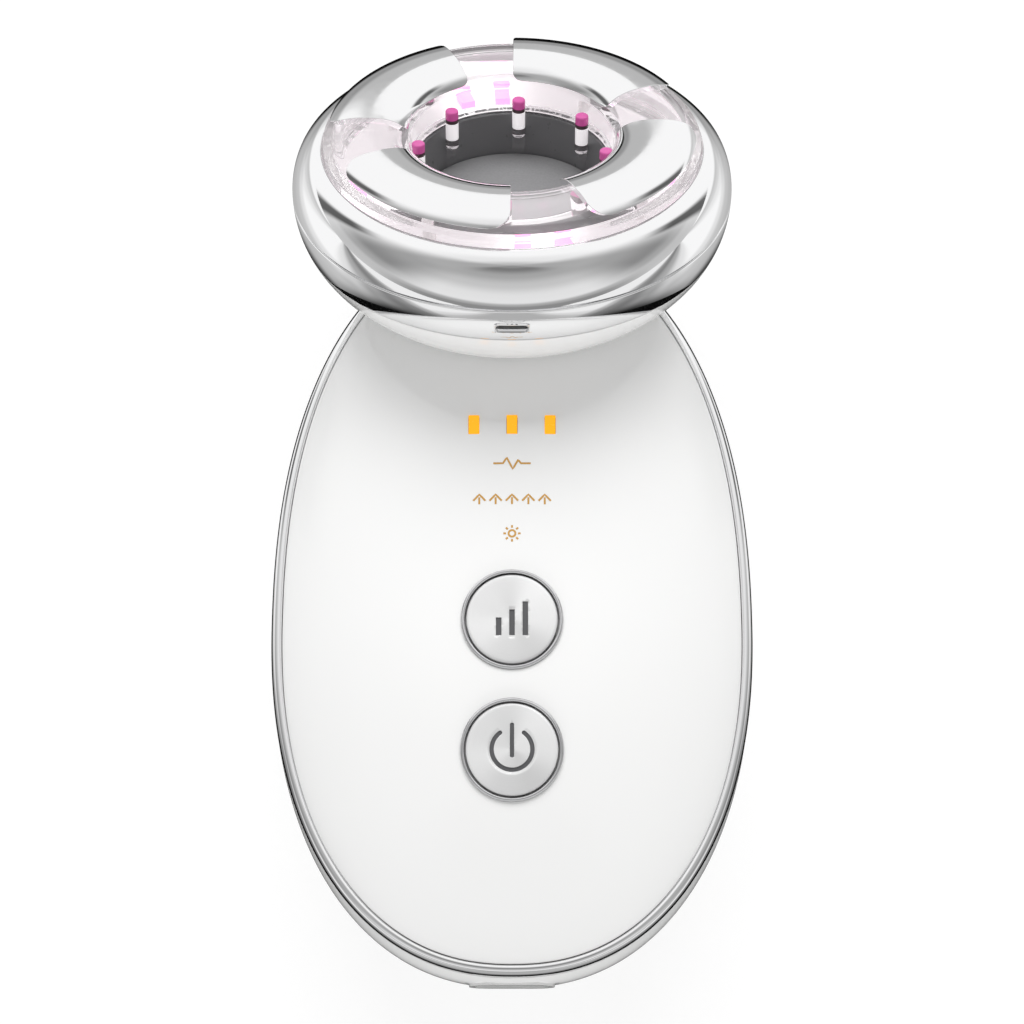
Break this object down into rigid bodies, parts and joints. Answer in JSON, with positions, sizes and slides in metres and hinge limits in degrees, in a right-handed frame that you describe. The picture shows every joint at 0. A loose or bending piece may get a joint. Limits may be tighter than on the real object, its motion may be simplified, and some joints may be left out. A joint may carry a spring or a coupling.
{
  "type": "facial toning device",
  "caption": "Palm-sized facial toning device: oval handle with press buttons and lamps, and a tilted round head with curved electrodes on a lit ring round a suction cup.",
  "frame": {"origin": "on the flat of the rear shell that the device lies on, under the widest row of the handle", "axes": "+X across the handle to the right of someone who looks at its face with the head up, +Y along the handle towards the head, +Z out of the front panel"},
  "size_m": [0.06, 0.1243, 0.0505],
  "materials": {
    "shell_white": "gloss moulded white",
    "panel_white": "high gloss white",
    "plated_trim": "bright chrome plating on plastic",
    "electrode_chrome": "polished",
    "button_ring": "satin plating on plastic",
    "button_cap": "satin silver",
    "indicator_amber": "tinted, lit from behind",
    "switch_black": "moulded",
    "switch_pin": "moulded",
    "led_chip": "cast",
    "board_green": "solder mask",
    "board_white": "white solder mask",
    "chip_black": "moulded",
    "frame_grey": "moulded",
    "screw_steel": "plated",
    "battery_foil": "foil pouch",
    "foam_grey": "foam",
    "motor_steel": "drawn can",
    "pump_black": "moulded",
    "valve_grey": "moulded, wound coil inside",
    "hose_clear": "soft silicone",
    "cable_black": "sleeved",
    "socket_steel": "stamped",
    "bowl_white": "gloss moulded white",
    "core_white": "moulded",
    "led_pink": "lit",
    "acrylic_clear": "clear acrylic, lit pink from below",
    "stud_brass": "plated",
    "cup_grey": "soft grey",
    "filter_grey": "felt"
  },
  "bodies": {
    "housing": {"rear_shell": "shell_white", "bezel": "plated_trim", "front_panel": "panel_white", "mode_ring": "button_ring", "power_ring": "button_ring", "mode_switch": "switch_black", "power_switch": "switch_black", "indicator_guides": "indicator_amber", "indicator_leds": "led_chip", "main_board": "board_green", "board_chips": "chip_black", "inner_frame": "frame_grey", "frame_screws": "screw_steel", "battery": "battery_foil", "battery_pad": "foam_grey", "pump_motor": "motor_steel", "pump_head": "pump_black", "valve_body": "valve_grey", "suction_hose": "hose_clear", "valve_hose": "hose_clear", "head_cable": "cable_black", "charging_socket": "socket_steel", "charging_board": "board_green", "socket_trim": "button_ring", "head_bowl": "bowl_white", "neck_nut": "core_white", "lower_band": "plated_trim", "shoulder_ring": "plated_trim", "head_core": "core_white", "head_screws": "screw_steel", "led_board": "board_white", "ring_leds": "led_pink", "led_posts": "led_pink", "light_ring": "acrylic_clear", "electrode_back_right": "electrode_chrome", "electrode_back_left": "electrode_chrome", "electrode_front_left": "electrode_chrome", "electrode_front_right": "electrode_chrome", "contact_studs": "stud_brass", "suction_cup": "cup_grey", "cup_gasket": "cup_grey", "filter_pad": "filter_grey"},
    "mode_button": {"mode_cap": "button_cap", "mode_plunger": "switch_pin"},
    "power_button": {"power_cap": "button_cap", "power_plunger": "switch_pin"},
    "pump_shaft": {"pump_rotor": "screw_steel"},
    "valve_core": {"valve_plunger": "screw_steel"}
  },
  "joints": [
    {"name": "mode_press", "type": "slide", "parent": "housing", "child": "mode_button", "axis": [0, -0.0052, 1], "range_m": [-0.0005, 0], "stiffness_N_per_m": 600, "springref_m": 0.001},
    {"name": "power_press", "type": "slide", "parent": "housing", "child": "power_button", "axis": [0, -0.0941, 0.9956], "range_m": [-0.0005, 0], "stiffness_N_per_m": 600, "springref_m": 0.001},
    {"name": "pump_spin", "type": "hinge", "parent": "housing", "child": "pump_shaft", "pos_m": [-0.001, 0.0245, 0.0108], "axis": [1, 0, 0], "continuous": true},
    {"name": "valve_lift", "type": "slide", "parent": "housing", "child": "valve_core", "axis": [0, 1, 0], "range_m": [0, 0.001], "stiffness_N_per_m": 100, "springref_m": -0.001}
  ]
}
